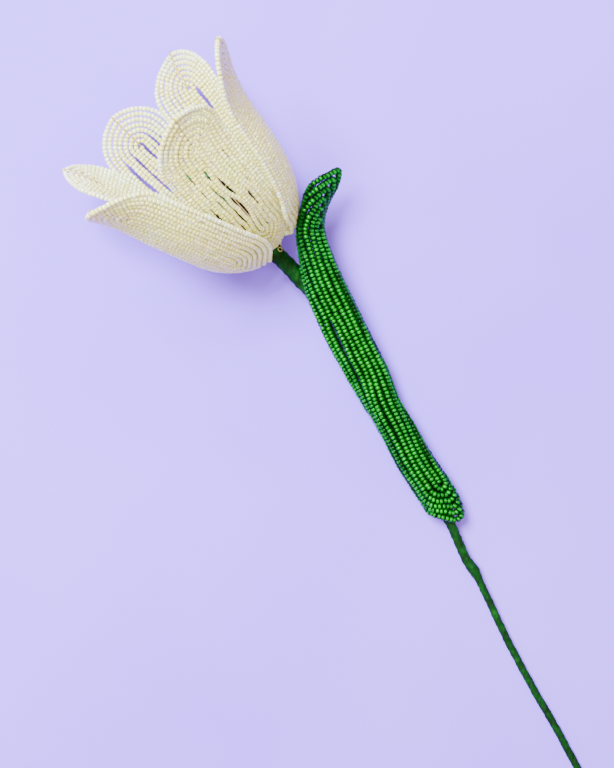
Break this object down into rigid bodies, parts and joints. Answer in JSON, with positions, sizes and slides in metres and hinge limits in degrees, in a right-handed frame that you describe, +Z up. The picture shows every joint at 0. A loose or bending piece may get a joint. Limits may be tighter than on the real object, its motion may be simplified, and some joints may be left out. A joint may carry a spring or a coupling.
{
  "type": "beaded tulip",
  "caption": "Artificial tulip of glass beads strung on wire, lying on its side: open ivory bloom, long green leaf and taped wire stem.",
  "frame": {"origin": "middle of the bounding box's base, on the table top the flower lies on", "axes": "+Y along the flower towards the bloom, +Z up from the table, +X to the right seen from above with the bloom away"},
  "size_m": [0.0846, 0.3614, 0.0848],
  "materials": {
    "ivory_beads": "pearl lustre",
    "green_beads": "glossy",
    "black_beads": "glossy",
    "leaf_beads": "glossy, silver lined",
    "floral_tape": "waxed crepe tape",
    "steel_wire": "drawn wire"
  },
  "bodies": {
    "root": {"petal_inner_1": "ivory_beads", "petal_inner_2": "ivory_beads", "petal_inner_3": "ivory_beads", "petal_outer_1": "ivory_beads", "petal_outer_2": "ivory_beads", "petal_outer_3": "ivory_beads", "pistil": "green_beads", "stamens": "black_beads", "leaf": "leaf_beads", "stem_tape": "floral_tape", "stem_wire": "steel_wire"}
  },
  "joints": []
}
